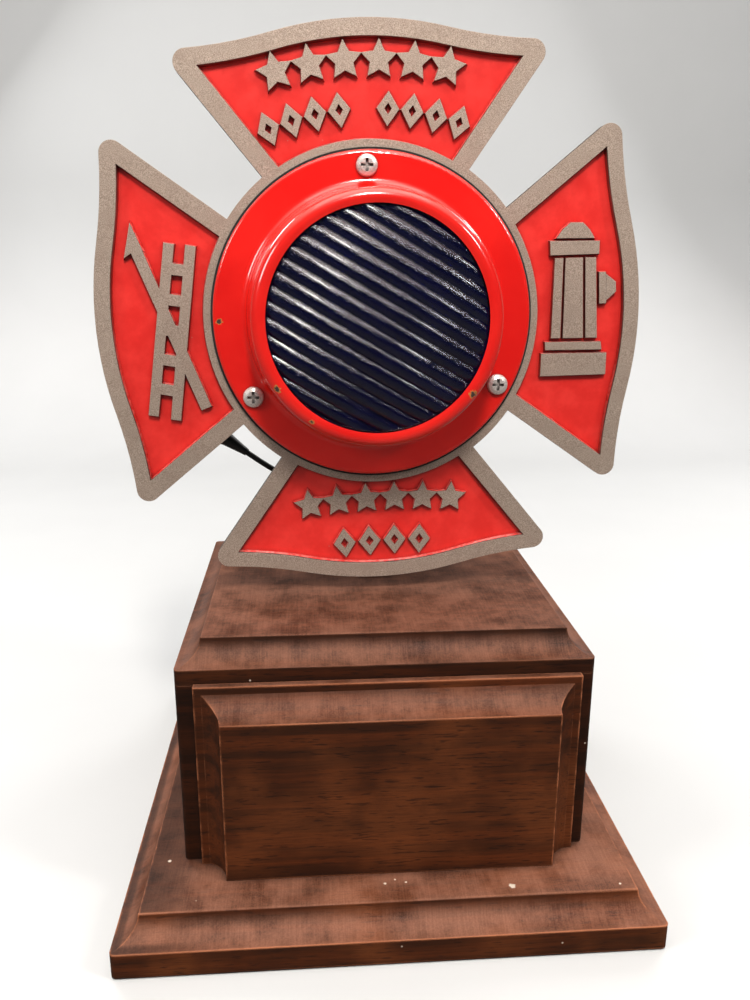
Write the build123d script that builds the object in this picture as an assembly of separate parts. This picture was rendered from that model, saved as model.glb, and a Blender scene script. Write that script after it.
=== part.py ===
from build123d import *
from math import asin, atan2, cos, degrees, hypot, radians, sin, sqrt
import os

# Illuminated firefighter emblem lamp on a moulded wooden pedestal, in millimetres.
# Row frame: origin at the centre of the pedestal's underside, +X to the viewer's right,
# +Y to the back, +Z up. The lamp faces -Y.
# Head frame: origin on the lens axis in the plane of the emblem's front face, +Y to the back.
# Every head part is modelled in that frame and moved into place by HEAD_PLACE.

# Pedestal
SLAB_WIDTH = 254.0
SLAB_DEPTH = 264.7
SLAB_TOP = 24.9
FELT_THICKNESS = 1.0
FELT_INSET = 9.0
FELT_CORNER = 6.0
FELT_HOLE_RADIUS = 5.5
FELT_HATCH_MARGIN = 3.0
BOX_WIDTH = 198.7
BOX_DEPTH = 190.3
BOX_Y = 9.6
BOX_TOP = 138.1
TOP_BOARD_THICKNESS = 19.0
COVE_RADIUS = 11.4
CORNER_RADIUS = 2.5
EDGE_SOFTENING = 0.7
BOARD_THICKNESS = 12.0
BLOCK_SIZE = 18.0
BLOCK_HEIGHT = 70.0
BLOCK_HOLE_DEPTH = 26.0

# Plaque on the front of the box
PLAQUE_X = 1.0
PLAQUE_WIDTH = 183.0
PLAQUE_TOP = 119.7
PLAQUE_THICKNESS = 16.6
PLAQUE_STEP = 3.8
PLAQUE_COVE = (12.7, 9.0)
PLAQUE_SCREW_X = 60.0
PLAQUE_SCREW_HEIGHTS = (48.0, 98.0)
PLAQUE_FACE_LEFT = 5.0

# Battery hatch in the slab, and what stands on it
HATCH_WIDTH = 140.0
HATCH_DEPTH = 90.0
HATCH_Y = 54.0
HATCH_THICKNESS = 6.0
HATCH_GAP = 0.3
HATCH_LEDGE = 8.0
HATCH_SCREW_SINK = 2.2
HATCH_SCREW_TOP = 17.0
CELL_RADIUS = 7.2
CELL_LENGTH = 49.5
CELL_BUTTON_RADIUS = 2.7
CELL_BUTTON = 1.0
CELL_PITCH = 15.4
CELLS_PER_ROW = 4
CELL_END_GAP = 4.5
TRAY_WALL = 1.5
TRAY_DEPTH = 10.1
CELL_SPRING_LENGTH = 2.4
CELL_SPRING_PITCH = 0.9
CELL_SPRING_RADIUS = 3.0
CELL_SPRING_WIRE = 0.3

# Wood screws: shank radius, head radius, length, head height
SLAB_SCREW = (2.1, 4.3, 42.0, 2.8)
SLAB_SCREW_SINK = 6.0
SLAB_SINK_RADIUS = 4.6
PLAQUE_SCREW = (1.8, 3.6, 23.0, 2.4)
HATCH_SCREW = (1.4, 3.0, 13.0, 1.8)
HATCH_SINK_RADIUS = 3.2
FOOT_SCREW = (1.9, 3.7, 20.0, 2.4)

# Emblem (four equal arms round a ring)
EMBLEM_X = -2.8
EMBLEM_Y = -17.0
EMBLEM_Z = 281.2
EMBLEM_TURN = -2.54
HEAD_LEAN = -1.5
ARM_REACH = 135.0
ARM_CREST_RADIUS = 174.0
ARM_CREST_HALF = 41.0
ARM_CORNER = (92.2, 123.9)
ARM_ROOT = (49.0, 67.0)
ARM_CORNER_RADIUS = 5.9
RING_RADIUS = 83.8
RING_RIM = 83.0
RIM_OUTER = 7.6
RIM_SIDE = 8.7
EMBLEM_THICKNESS = 6.5
RECESS_DEPTH = 3.0
RECESS_DRAFT = 14.0
RELIEF_HEIGHT = 2.6
RELIEF_ROOT = 0.2
RELIEF_DRAFT = 10.0
EMBLEM_BORE = 63.0

# Bezel and its screws
SCREW_CIRCLE = 70.7
SCREW_ANGLES = (90.0, 210.0, 330.0)
SCREW_RADIUS = 2.4
SCREW_CLEARANCE = 0.2
SCREW_HEAD_RADIUS = 5.1
SCREW_HEAD_HEIGHT = 3.0
SCREW_TAIL = 6.0
SCREW_SLOT = (5.8, 1.35)
SCREW_SLOT_TURN = 3.0
NUT_RADIUS = 4.6
NUT_HEIGHT = 3.4
WASHER_THICKNESS = 1.0
SHEET = 1.2
BEZEL_RADIUS = 78.2
BEZEL_FACE = -4.5
BEZEL_FOOT = (62.0, BEZEL_FACE)
BEZEL_CROWN = (57.2, -41.0)
BEZEL_BENDS = (2.0, 4.0, 4.5)
LENS_OPENING = 51.0
LIP_DEPTH = -39.5
GASKET_THICKNESS = 1.0

# Lens, reflector and the ring that holds them
LENS_RIM_RADIUS = 55.8
LENS_RIM_WIDTH = 11.0
LENS_RIM_FRONT = -37.0
LENS_RIM_THICKNESS = 4.0
LENS_DOME_RADIUS = 50.3
LENS_CREST = -46.5
LENS_DOME_SAG = 8.0
LENS_THICKNESS = 5.0
FLUTE_COUNT = 15
FLUTE_DEPTH = 1.3
FLUTE_ANGLE = 30.0
LENS_GASKET_RADIUS = 55.0
LENS_GASKET_THICKNESS = 1.2
REFLECTOR_RADIUS = 50.0
REFLECTOR_FLANGE = 56.5
REFLECTOR_SHEET = 0.8
REFLECTOR_NECK = 10.0
REFLECTOR_NECK_DEPTH = 12.5
REFLECTOR_NECK_LENGTH = 6.0
SNAP_RING_RADIUS = 56.2
SNAP_RING_WIRE = 1.0
SNAP_RING_GAP = 9.0

# Housing
HOUSING_FLANGE = 79.0
HOUSING_RADIUS = 61.5
HOUSING_BACK = 36.0
HOUSING_SHEET = 1.4
HOUSING_BENDS = (2.0, 6.0)
TAIL_DEPTH = 22.0
TAIL_HOLE = 4.0

# Bulb and bayonet socket
BULB_RADIUS = 12.5
BULB_CENTRE = -10.0
BULB_GLASS = 0.7
BULB_NECK = 6.5
BULB_BASE_RADIUS = 7.6
BULB_BASE = (2.0, 19.0)
BULB_CONTACT_RADIUS = 2.2
BULB_CONTACT_END = 21.4
FILAMENT_DEPTH = -11.0
FILAMENT_RADIUS = 0.6
FILAMENT_HALF = 4.6
FILAMENT_POST_RADIUS = 0.3
SOCKET_RADIUS = 9.0
SOCKET_WALL = 0.8
SOCKET = (5.0, 30.0)
CONTACT_DISC = (21.5, 23.5)

# Tilting stem
POST_RADIUS = 8.0
POST_BORE = 4.5
POST_BORE_TOP = 172.0
POST_TAIL = 14.0
POST_COLLAR_RADIUS = 11.0
CABLE_HOLE_Z = 165.0
CABLE_HOLE_RADIUS = 3.8
PIVOT_DEPTH = 48.0
PIVOT_DROP = 64.0
EAR_THICKNESS = 6.0
EAR_RADIUS = 9.0
LUG_PLATE = 4.0
LUG_WIDTH = 26.0
LUG_LIMITS = (-51.0, -9.0)
LUG_SCREW_X = 8.5
LUG_SCREW_HEIGHTS = (-16.0, -42.0)
LUG_SCREW_RADIUS = 1.9
FORK_GAP = 6.3
FORK_WIDTH = 16.4
FORK_RADIUS = 9.5
FORK_DROP = 24.0
TILT_BOLT_RADIUS = 2.5
TILT_BOLT_TAIL = 11.0
TILT_WASHER_RADIUS = 5.5
WING_HUB = 6.5
WING_TURN = 35.0
FOOT_RADIUS = 27.0
FOOT_THICKNESS = 6.0
FOOT_BOSS_RADIUS = 13.0
FOOT_BOSS_HEIGHT = 14.0
FOOT_SCREW_CIRCLE = 20.0
STEM_WASHER = (14.0, 2.0)
STEM_NUT = (13.5, 8.0)
RUNNING_GAP = 0.05

# Cables and the in-line connector
CABLE_RADIUS = 1.5
LEAD_RADIUS = 1.2
JACK_RADIUS = 5.5
JACK_LENGTH = 24.0
JACK_NECK = (4.2, 29.0)
BARREL_RADIUS = 2.75
BARREL_LENGTH = 10.0
PLUG_RADIUS = 4.6
BOOT_LENGTH = 18.0
INNER_CONNECTOR = (90.0, 105.9)

# Switch on the back board
SWITCH_X = 60.0
SWITCH_Z = 72.0
SWITCH_WALL = 3.5
SWITCH_POCKET = (20.0, 30.0)
SWITCH_CASE = (13.0, 17.0, 26.0)
SWITCH_TAB = (0.8, 7.0, 4.0)
SWITCH_TAB_PITCH = 9.0
BUSHING_RADIUS = 5.9
BUSHING_LENGTH = 7.0
LEVER_PIVOT = 1.0
LEVER_REST = -13.0

SLAB_BOTTOM = FELT_THICKNESS
HATCH_TOP = SLAB_BOTTOM + HATCH_THICKNESS
TRAY_TOP = HATCH_TOP + TRAY_WALL + TRAY_DEPTH
TRAY_HALF = CELL_LENGTH + 2 * CELL_END_GAP
BOARD_TOP = BOX_TOP - TOP_BOARD_THICKNESS
FRONT_Y = BOX_Y - BOX_DEPTH / 2
BACK_Y = BOX_Y + BOX_DEPTH / 2
PLAQUE_FACE = FRONT_Y - PLAQUE_THICKNESS
FOOT_TOP = BOX_TOP + FOOT_THICKNESS
BOSS_TOP = BOX_TOP + FOOT_BOSS_HEIGHT
HOUSING_FRONT = EMBLEM_THICKNESS + HOUSING_SHEET
LENS_RIM_BACK = LENS_RIM_FRONT + LENS_RIM_THICKNESS
NECK_END = REFLECTOR_NECK_DEPTH + REFLECTOR_NECK_LENGTH
TAB_END_Y = BACK_Y - SWITCH_WALL - SWITCH_CASE[1] - SWITCH_TAB[1]
LEAN = radians(HEAD_LEAN)
PIVOT_Z = EMBLEM_Z + PIVOT_DEPTH * sin(LEAN) - PIVOT_DROP * cos(LEAN)
PIVOT_Y = EMBLEM_Y + PIVOT_DEPTH * cos(LEAN) + PIVOT_DROP * sin(LEAN)
HEAD_PLACE = Pos(EMBLEM_X, EMBLEM_Y, EMBLEM_Z) * Rot(HEAD_LEAN, 0, 0)
EMBLEM_ROLL = Rot(0, EMBLEM_TURN, 0)
PIVOT_PLACE = Pos(0, PIVOT_Y, PIVOT_Z)
POST_PLACE = Pos(0, PIVOT_Y, 0)
FACING_FRONT = Plane(origin=(0, 0, 0), x_dir=(1, 0, 0), z_dir=(0, -1, 0))
CONNECTOR_PLACE = Pos(-81.1, 30.0, -62.1) * Rot(0, 35.5, 0)


# Plain solids


def disc(radius, start, end):
    """Cylinder round the Y axis, from one depth to another."""
    return Pos(0, start, 0) * Rot(-90, 0, 0) * Cylinder(
        radius, end - start, align=(Align.CENTER, Align.CENTER, Align.MIN)
    )


def ring(outer, inner, start, end):
    return disc(outer, start, end) - disc(inner, start, end)


def column(radius, bottom, top):
    """Cylinder round the Z axis."""
    return Pos(0, 0, bottom) * Cylinder(
        radius, top - bottom, align=(Align.CENTER, Align.CENTER, Align.MIN)
    )


def bar_x(radius, start, end):
    """Cylinder round the X axis."""
    return Pos(start, 0, 0) * Rot(0, 90, 0) * Cylinder(
        radius, end - start, align=(Align.CENTER, Align.CENTER, Align.MIN)
    )


def block(x, y, z):
    """Box between two limits on each axis."""
    middle = [(low + high) / 2 for low, high in (x, y, z)]
    return Pos(*middle) * Box(x[1] - x[0], y[1] - y[0], z[1] - z[0])


def turned(*points, axis=Axis.Y):
    """Solid of revolution round the Y axis from (radius, depth) points."""
    return revolve(make_face(Polyline(*points, close=True)), axis=axis)


def turned_z(*points):
    """Solid of revolution round the Z axis from (radius, height) points."""
    section = Plane.XZ * make_face(Polyline(*points, close=True))
    return revolve(section, axis=Axis.Z)


def hex_nut(radius, hole, start, height):
    """Nut round the Y axis."""
    nut = extrude(FACING_FRONT.offset(-start - height) * RegularPolygon(radius, 6), amount=height)
    return nut - disc(hole, start, start + height)


def sheet_shell(points, bends, thickness, side):
    """Pressed sheet-metal shell round the Y axis with a bend radius at each inner point."""
    path = Polyline(*points).wire()
    for corner, bend in zip(points[1:-1], bends):
        vertex = path.vertices().sort_by_distance(Vector(*corner))[0]
        path = path.fillet_2d(bend, [vertex])
    section = path.offset_2d(thickness, side=side, closed=True)
    return revolve(make_face(section.edges()), axis=Axis.Y)


def cord(points, radius, start, end):
    """Round cord along a smooth curve that leaves and arrives in given directions."""
    path = Spline(*points, tangents=(start, end))
    return sweep(Plane(origin=path @ 0, z_dir=path % 0) * Circle(radius), path=path)


def coil(pitch, height, radius, wire):
    """Open coil spring round the Z axis."""
    path = Helix(pitch=pitch, height=height, radius=radius)
    return sweep(Plane(origin=path @ 0, z_dir=path % 0) * Circle(wire), path=path)


def wood_screw(shank, head, length, head_height):
    """Pan-head wood screw pointing down from a head whose underside is at z = 0."""
    screw = turned_z(
        (0, -length),
        (shank, -length + 2 * shank),
        (shank, 0),
        (head, 0),
        (head, head_height * 0.5),
        (head * 0.7, head_height),
        (0, head_height),
    )
    slot = Box(head * 1.1, head * 0.24, head_height)
    slot += Rot(0, 0, 90) * slot
    return screw - Pos(0, 0, head_height) * slot


def group(solids):
    return Compound(children=list(solids))


# Pedestal boards


def cove_cutter(length):
    """Cutter for a round cove along +X under a corner at the origin."""
    return Rot(0, 90, 0) * Cylinder(COVE_RADIUS, length)


def plaque_cutter(length):
    """Cutter for the plaque's edge along +X: a flat step, then a cove that meets the face squarely.

    The stock lies at -Y, from its edge inwards, and at -Z, behind its face.
    """
    depth, height = PLAQUE_COVE
    radius = (depth**2 + height**2) / (2 * height)
    half_angle = asin(depth / radius) / 2
    top, foot = (-PLAQUE_STEP, -depth), (-PLAQUE_STEP - height, 0)
    middle = (foot[0] + radius * (1 - cos(half_angle)), -radius * sin(half_angle))
    outside = Polyline(foot, (foot[0], depth), (depth, depth), (depth, -depth), top)
    profile = Plane.YZ * make_face(outside + ThreePointArc(top, middle, foot))
    return extrude(profile, length / 2, both=True)


def coved_board(width, depth, bottom, top):
    """Board with rounded corners and a cove worked round its top edge."""
    board = block((-width / 2, width / 2), (-depth / 2, depth / 2), (bottom, top))
    board = fillet(board.edges().filter_by(Axis.Z), CORNER_RADIUS)
    overrun = 40
    long_x = cove_cutter(width + overrun)
    long_y = Rot(0, 0, 90) * cove_cutter(depth + overrun)
    for sign in (-1, 1):
        board -= Pos(0, sign * depth / 2, top) * long_x
        board -= Pos(sign * width / 2, 0, top) * long_y
    field = board.edges().group_by(Axis.Z)[-1]
    return fillet(field, EDGE_SOFTENING)


def hatch_y(half):
    """Limits in Y of something centred on the hatch."""
    return (HATCH_Y - half, HATCH_Y + half)


def block_centres():
    x = BOX_WIDTH / 2 - BOARD_THICKNESS - BLOCK_SIZE / 2
    y = BOX_DEPTH / 2 - BOARD_THICKNESS - BLOCK_SIZE / 2
    return [(i * x, BOX_Y + j * y) for i in (-1, 1) for j in (-1, 1)]


def hatch_corners():
    x = HATCH_WIDTH / 2 - HATCH_LEDGE / 2
    y = HATCH_DEPTH / 2 - HATCH_LEDGE / 2
    return [(i * x, HATCH_Y + j * y) for i in (-1, 1) for j in (-1, 1)]


def base_slab():
    slab = coved_board(SLAB_WIDTH, SLAB_DEPTH, SLAB_BOTTOM, SLAB_TOP)
    half_x, half_y = HATCH_WIDTH / 2 + HATCH_GAP, HATCH_DEPTH / 2 + HATCH_GAP
    slab -= block((-half_x, half_x), hatch_y(half_y), (SLAB_BOTTOM, HATCH_TOP))
    half_x, half_y = half_x - HATCH_LEDGE, half_y - HATCH_LEDGE
    slab -= block((-half_x, half_x), hatch_y(half_y), (SLAB_BOTTOM, SLAB_TOP))
    for x, y in block_centres():
        slab -= Pos(x, y, 0) * column(SLAB_SCREW[0], SLAB_BOTTOM, SLAB_TOP)
        slab -= Pos(x, y, 0) * column(SLAB_SINK_RADIUS, 0, SLAB_SCREW_SINK)
    for x, y in hatch_corners():
        slab -= Pos(x, y, 0) * column(HATCH_SCREW[0], SLAB_BOTTOM, HATCH_SCREW_TOP)
    return slab


def felt_pad():
    half_x, half_y = SLAB_WIDTH / 2 - FELT_INSET, SLAB_DEPTH / 2 - FELT_INSET
    pad = block((-half_x, half_x), (-half_y, half_y), (0, FELT_THICKNESS))
    pad = fillet(pad.edges().filter_by(Axis.Z), FELT_CORNER)
    hole_x, hole_y = HATCH_WIDTH / 2 + FELT_HATCH_MARGIN, HATCH_DEPTH / 2 + FELT_HATCH_MARGIN
    pad -= block((-hole_x, hole_x), hatch_y(hole_y), (0, FELT_THICKNESS))
    for x, y in block_centres():
        pad -= Pos(x, y, 0) * column(FELT_HOLE_RADIUS, 0, FELT_THICKNESS)
    return pad


def top_board():
    board = Pos(0, BOX_Y, 0) * coved_board(BOX_WIDTH, BOX_DEPTH, BOARD_TOP, BOX_TOP)
    board -= POST_PLACE * column(POST_RADIUS + 0.5, BOARD_TOP, BOX_TOP)
    screw_end = FOOT_TOP - FOOT_SCREW[2]
    for place in foot_screw_places():
        board -= place * column(FOOT_SCREW[0], screw_end - 1, BOX_TOP)
    return board


def upright_board(x, y):
    return block(x, y, (SLAB_TOP, BOARD_TOP))


def plaque_screw_centres():
    return [(i * PLAQUE_SCREW_X, z) for i in (-1, 1) for z in PLAQUE_SCREW_HEIGHTS]


def front_board():
    half = BOX_WIDTH / 2
    board = upright_board((-half, half), (FRONT_Y, FRONT_Y + BOARD_THICKNESS))
    outer = board.edges().filter_by(Axis.Z).group_by(Axis.Y)[0]
    board = fillet(outer, CORNER_RADIUS)
    for x, z in plaque_screw_centres():
        board -= Pos(x, 0, z) * disc(PLAQUE_SCREW[0], FRONT_Y, FRONT_Y + BOARD_THICKNESS)
    return board


def back_board():
    """Back of the box, thinned from inside behind the switch."""
    half = BOX_WIDTH / 2
    inner = BACK_Y - BOARD_THICKNESS
    board = upright_board((-half, half), (inner, BACK_Y))
    outer = board.edges().filter_by(Axis.Z).group_by(Axis.Y)[-1]
    board = fillet(outer, CORNER_RADIUS)
    width, height = SWITCH_POCKET
    board -= block(
        (SWITCH_X - width / 2, SWITCH_X + width / 2),
        (inner, BACK_Y - SWITCH_WALL),
        (SWITCH_Z - height / 2, SWITCH_Z + height / 2),
    )
    return board - Pos(SWITCH_X, 0, SWITCH_Z) * disc(BUSHING_RADIUS + 0.1, inner, BACK_Y)


def left_board():
    inner, outer = BOX_WIDTH / 2 - BOARD_THICKNESS, BOX_WIDTH / 2
    return upright_board((-outer, -inner), (FRONT_Y + BOARD_THICKNESS, BACK_Y - BOARD_THICKNESS))


def right_board():
    return mirror(left_board(), about=Plane.YZ)


def corner_blocks():
    half = BLOCK_SIZE / 2
    piece = block((-half, half), (-half, half), (SLAB_TOP, SLAB_TOP + BLOCK_HEIGHT))
    piece -= column(SLAB_SCREW[0], SLAB_TOP, SLAB_TOP + BLOCK_HOLE_DEPTH)
    return group(Pos(x, y, 0) * piece for x, y in block_centres())


def plaque_panel():
    """Panel coved on its top and side edges, with a small step behind each cove."""
    half = PLAQUE_WIDTH / 2
    panel = block((-half, half), (PLAQUE_FACE, FRONT_Y), (SLAB_TOP, PLAQUE_TOP))
    overrun = 60
    cutter = plaque_cutter(PLAQUE_WIDTH + overrun)
    panel -= Pos(0, PLAQUE_FACE, PLAQUE_TOP) * Rot(90, 0, 0) * cutter
    side = Rot(90, 0, 0) * cutter
    panel -= Pos(half, PLAQUE_FACE, overrun) * Rot(0, 90, 0) * side
    panel -= Pos(-half, PLAQUE_FACE, overrun) * Rot(0, -90, 0) * side
    panel = Pos(PLAQUE_X, 0, 0) * panel
    for x, z in plaque_screw_centres():
        panel -= Pos(x, 0, z) * disc(PLAQUE_SCREW[0], PLAQUE_FACE + PLAQUE_FACE_LEFT, FRONT_Y)
    return panel


# Screws and battery parts


def plaque_screws():
    screw = Rot(-90, 0, 0) * wood_screw(*PLAQUE_SCREW)
    y = FRONT_Y + BOARD_THICKNESS
    return group(Pos(x, y, z) * screw for x, z in plaque_screw_centres())


def slab_screws():
    screw = Pos(0, 0, SLAB_SCREW_SINK) * Rot(180, 0, 0) * wood_screw(*SLAB_SCREW)
    return group(Pos(x, y, 0) * screw for x, y in block_centres())


def battery_hatch():
    half = HATCH_WIDTH / 2
    hatch = block((-half, half), hatch_y(HATCH_DEPTH / 2), (SLAB_BOTTOM, HATCH_TOP))
    for x, y in hatch_corners():
        hatch -= Pos(x, y, 0) * column(HATCH_SCREW[0], 0, HATCH_TOP)
        hatch -= Pos(x, y, 0) * column(HATCH_SINK_RADIUS, 0, SLAB_BOTTOM + HATCH_SCREW_SINK)
    return hatch


def hatch_screws():
    screw = Pos(0, 0, SLAB_BOTTOM + HATCH_SCREW_SINK) * Rot(180, 0, 0) * wood_screw(*HATCH_SCREW)
    return group(Pos(x, y, 0) * screw for x, y in hatch_corners())


def at_cells(shape):
    """One copy of a shape for each cell of the two rows, with every other cell turned round."""
    copies = []
    for i in (-1, 1):
        x = i * (CELL_LENGTH / 2 + CELL_END_GAP)
        for j in range(CELLS_PER_ROW):
            y = HATCH_Y + (j - (CELLS_PER_ROW - 1) / 2) * CELL_PITCH
            place = Pos(x, y, HATCH_TOP + TRAY_WALL + CELL_RADIUS)
            copies.append(place * Rot(0, 0, 180 * (j % 2)) * shape)
    return group(copies)


def battery_tray():
    half_y = CELLS_PER_ROW * CELL_PITCH / 2
    outer = TRAY_HALF + TRAY_WALL
    tray = block((-outer, outer), hatch_y(half_y + TRAY_WALL), (HATCH_TOP, TRAY_TOP))
    for x in ((-TRAY_HALF, -TRAY_WALL / 2), (TRAY_WALL / 2, TRAY_HALF)):
        tray -= block(x, hatch_y(half_y), (HATCH_TOP + TRAY_WALL, TRAY_TOP))
    return tray


def battery_cells():
    end = CELL_LENGTH / 2
    return at_cells(bar_x(CELL_RADIUS, -end, end) + bar_x(CELL_BUTTON_RADIUS, end, end + CELL_BUTTON))


def battery_springs():
    """Coil contact at the flat end of each cell."""
    spring = coil(CELL_SPRING_PITCH, CELL_SPRING_LENGTH, CELL_SPRING_RADIUS, CELL_SPRING_WIRE)
    start = -CELL_LENGTH / 2 - CELL_SPRING_LENGTH - 2 * CELL_SPRING_WIRE
    return at_cells(Pos(start, 0, 0) * Rot(0, 90, 0) * spring)


# Foot, post and tilt joint


def foot_screw_places():
    return [POST_PLACE * Rot(0, 0, 45 + 90 * i) * Pos(FOOT_SCREW_CIRCLE, 0, 0) for i in range(4)]


def post_foot():
    bore = POST_RADIUS + RUNNING_GAP
    foot = turned_z(
        (bore, BOX_TOP),
        (FOOT_RADIUS, BOX_TOP),
        (FOOT_RADIUS, FOOT_TOP - 2.5),
        (FOOT_RADIUS - 2.5, FOOT_TOP),
        (FOOT_BOSS_RADIUS + 1.5, FOOT_TOP),
        (FOOT_BOSS_RADIUS, FOOT_TOP + 1.5),
        (FOOT_BOSS_RADIUS - 1, BOSS_TOP),
        (bore, BOSS_TOP),
    )
    foot = POST_PLACE * foot
    for place in foot_screw_places():
        foot -= place * column(FOOT_SCREW[0] + 0.1, BOX_TOP, FOOT_TOP)
    return foot


def foot_screws():
    screw = Pos(0, 0, FOOT_TOP) * wood_screw(*FOOT_SCREW)
    return group(place * screw for place in foot_screw_places())


def stem_post():
    """Tube with a collar on the foot, a fork at the top and a side hole for the cable."""
    bottom = BOARD_TOP - POST_TAIL
    post = column(POST_RADIUS, bottom, PIVOT_Z - FORK_DROP + 4)
    post += column(POST_COLLAR_RADIUS, BOSS_TOP + RUNNING_GAP, BOSS_TOP + 4)
    shank = Pos(0, -FORK_DROP / 2) * Rectangle(2 * FORK_RADIUS - 2, FORK_DROP)
    side = Circle(FORK_RADIUS) + shank
    fork = extrude(Plane.YZ.offset(-FORK_WIDTH / 2) * side, amount=FORK_WIDTH)
    slot_bottom = -EAR_RADIUS - 1
    fork -= block((-FORK_GAP / 2, FORK_GAP / 2), (-20, 20), (slot_bottom, 20))
    fork -= bar_x(TILT_BOLT_RADIUS, -FORK_WIDTH, FORK_WIDTH)
    post += Pos(0, 0, PIVOT_Z) * fork
    post -= column(POST_BORE, bottom, POST_BORE_TOP)
    post -= Pos(0, 0, CABLE_HOLE_Z) * bar_x(CABLE_HOLE_RADIUS, -20, 0)
    return POST_PLACE * post


def stem_grommet():
    """Rubber bush in the post's side hole."""
    bush = bar_x(CABLE_HOLE_RADIUS, -8.05, -5.4) + bar_x(5.0, -10.0, -8.05)
    return Pos(0, PIVOT_Y, CABLE_HOLE_Z) * (bush - bar_x(CABLE_RADIUS + 1.1, -20, 0))


def stem_washer():
    radius, thickness = STEM_WASHER
    top = BOARD_TOP - RUNNING_GAP
    return POST_PLACE * (column(radius, top - thickness, top) - column(POST_RADIUS, 0, BOARD_TOP))


def stem_nut():
    radius, height = STEM_NUT
    nut = extrude(RegularPolygon(radius, 6), amount=height) - column(POST_RADIUS, 0, height)
    return Pos(0, PIVOT_Y, BOARD_TOP - RUNNING_GAP - STEM_WASHER[1] - height) * nut


def tilt_bolt():
    side = FORK_WIDTH / 2 + WASHER_THICKNESS
    head = extrude(Plane.YZ.offset(side) * RegularPolygon(NUT_RADIUS, 6), amount=3.5)
    return PIVOT_PLACE * (bar_x(TILT_BOLT_RADIUS, -side - TILT_BOLT_TAIL, side) + head)


def tilt_washers():
    side = FORK_WIDTH / 2
    end = side + WASHER_THICKNESS
    washer = bar_x(TILT_WASHER_RADIUS, side, end) - bar_x(TILT_BOLT_RADIUS, side, end)
    return group(PIVOT_PLACE * piece for piece in (washer, mirror(washer, about=Plane.YZ)))


def tilt_wing_nut():
    start = -FORK_WIDTH / 2 - WASHER_THICKNESS - RUNNING_GAP
    hub = bar_x(NUT_RADIUS, start - WING_HUB, start)
    wing = Pos(start - 5.0, 0, 7.5) * Box(6.0, 2.0, 8.0)
    wing = fillet(wing.edges().filter_by(Axis.Y), 1.8)
    nut = hub + wing + Rot(180, 0, 0) * wing
    nut -= bar_x(TILT_BOLT_RADIUS + RUNNING_GAP, start - WING_HUB, start)
    return PIVOT_PLACE * Rot(WING_TURN, 0, 0) * nut


def lug_screw_places():
    heights = LUG_SCREW_HEIGHTS
    return [Pos(-EMBLEM_X + i * LUG_SCREW_X, 0, z) for i in (-1, 1) for z in heights]


def tilt_lug():
    """Plate on the housing's back with an ear that drops into the fork."""
    half = LUG_WIDTH / 2
    plate = block((-half, half), (HOUSING_BACK, HOUSING_BACK + LUG_PLATE), LUG_LIMITS)
    plate = fillet(plate.edges().filter_by(Axis.Y), 4.0)
    root = HOUSING_BACK + LUG_PLATE / 2
    low, high = LUG_LIMITS
    ear_top = Line((root, high - 5), (root, low + 1))
    ear_end = Pos(PIVOT_DEPTH, -PIVOT_DROP) * CenterArc((0, 0), EAR_RADIUS, 0, 360)
    ear = make_hull([ear_top, *ear_end.edges()])
    ear = extrude(Plane.YZ.offset(-EAR_THICKNESS / 2) * ear, amount=EAR_THICKNESS)
    ear -= block((-half, half), (0, HOUSING_BACK), (-90, 0))
    bolt_hole = bar_x(TILT_BOLT_RADIUS + RUNNING_GAP, -EAR_THICKNESS, EAR_THICKNESS)
    lug = plate + ear - Pos(0, PIVOT_DEPTH, -PIVOT_DROP) * bolt_hole
    lug = Pos(-EMBLEM_X, 0, 0) * lug
    for place in lug_screw_places():
        lug -= place * disc(LUG_SCREW_RADIUS, HOUSING_BACK, HOUSING_BACK + LUG_PLATE)
    return lug


def lug_screws():
    under = HOUSING_BACK + LUG_PLATE
    screw = turned((0, under), (3.5, under), (3.5, under + 1), (2.4, under + 2.2), (0, under + 2.2))
    screw += disc(LUG_SCREW_RADIUS, under - 10, under)
    return group(place * screw for place in lug_screw_places())


def lug_nuts():
    inner = HOUSING_BACK - HOUSING_SHEET
    nut = hex_nut(3.6, LUG_SCREW_RADIUS, inner - 2.4, 2.4)
    return group(place * nut for place in lug_screw_places())


# Emblem


def arm_outline():
    """Outline of the top arm, with its flared outer edge and straight sides."""
    centre_z = ARM_REACH - ARM_CREST_RADIUS
    crest_end = centre_z + sqrt(ARM_CREST_RADIUS**2 - ARM_CREST_HALF**2)
    crest_right = (ARM_CREST_HALF, crest_end)
    heading = (crest_end - centre_z, -ARM_CREST_HALF)
    crest = ThreePointArc((-ARM_CREST_HALF, crest_end), (0, ARM_REACH), crest_right)
    flare = TangentArc(crest_right, ARM_CORNER, tangent=heading)
    side = Line(ARM_CORNER, ARM_ROOT)
    edges = [crest, flare, side]
    edges += [mirror(flare, about=Plane.YZ), mirror(side, about=Plane.YZ)]
    edges.append(Line((-ARM_ROOT[0], ARM_ROOT[1]), ARM_ROOT))
    return make_face(edges)


def arm_recess():
    """Sunk field of the top arm, inside its outer rim, its side rims and the ring's rim."""
    run = Vector(ARM_CORNER) - Vector(ARM_ROOT)
    inward = Vector(-run.Y, run.X).normalized() * RIM_SIDE
    foot = Vector(ARM_ROOT) + inward - run * 0.3
    head = Vector(ARM_CORNER) + inward + run * 0.3
    wedge = Polygon(
        (foot.X, foot.Y), (head.X, head.Y), (-head.X, head.Y), (-foot.X, foot.Y), align=None
    )
    field = offset(arm_outline(), amount=-RIM_OUTER, kind=Kind.INTERSECTION)
    below = Pos(0, ARM_ROOT[1]) * Rectangle(120, 30)
    return (field + (below & wedge)) & wedge - Circle(RING_RIM)


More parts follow.
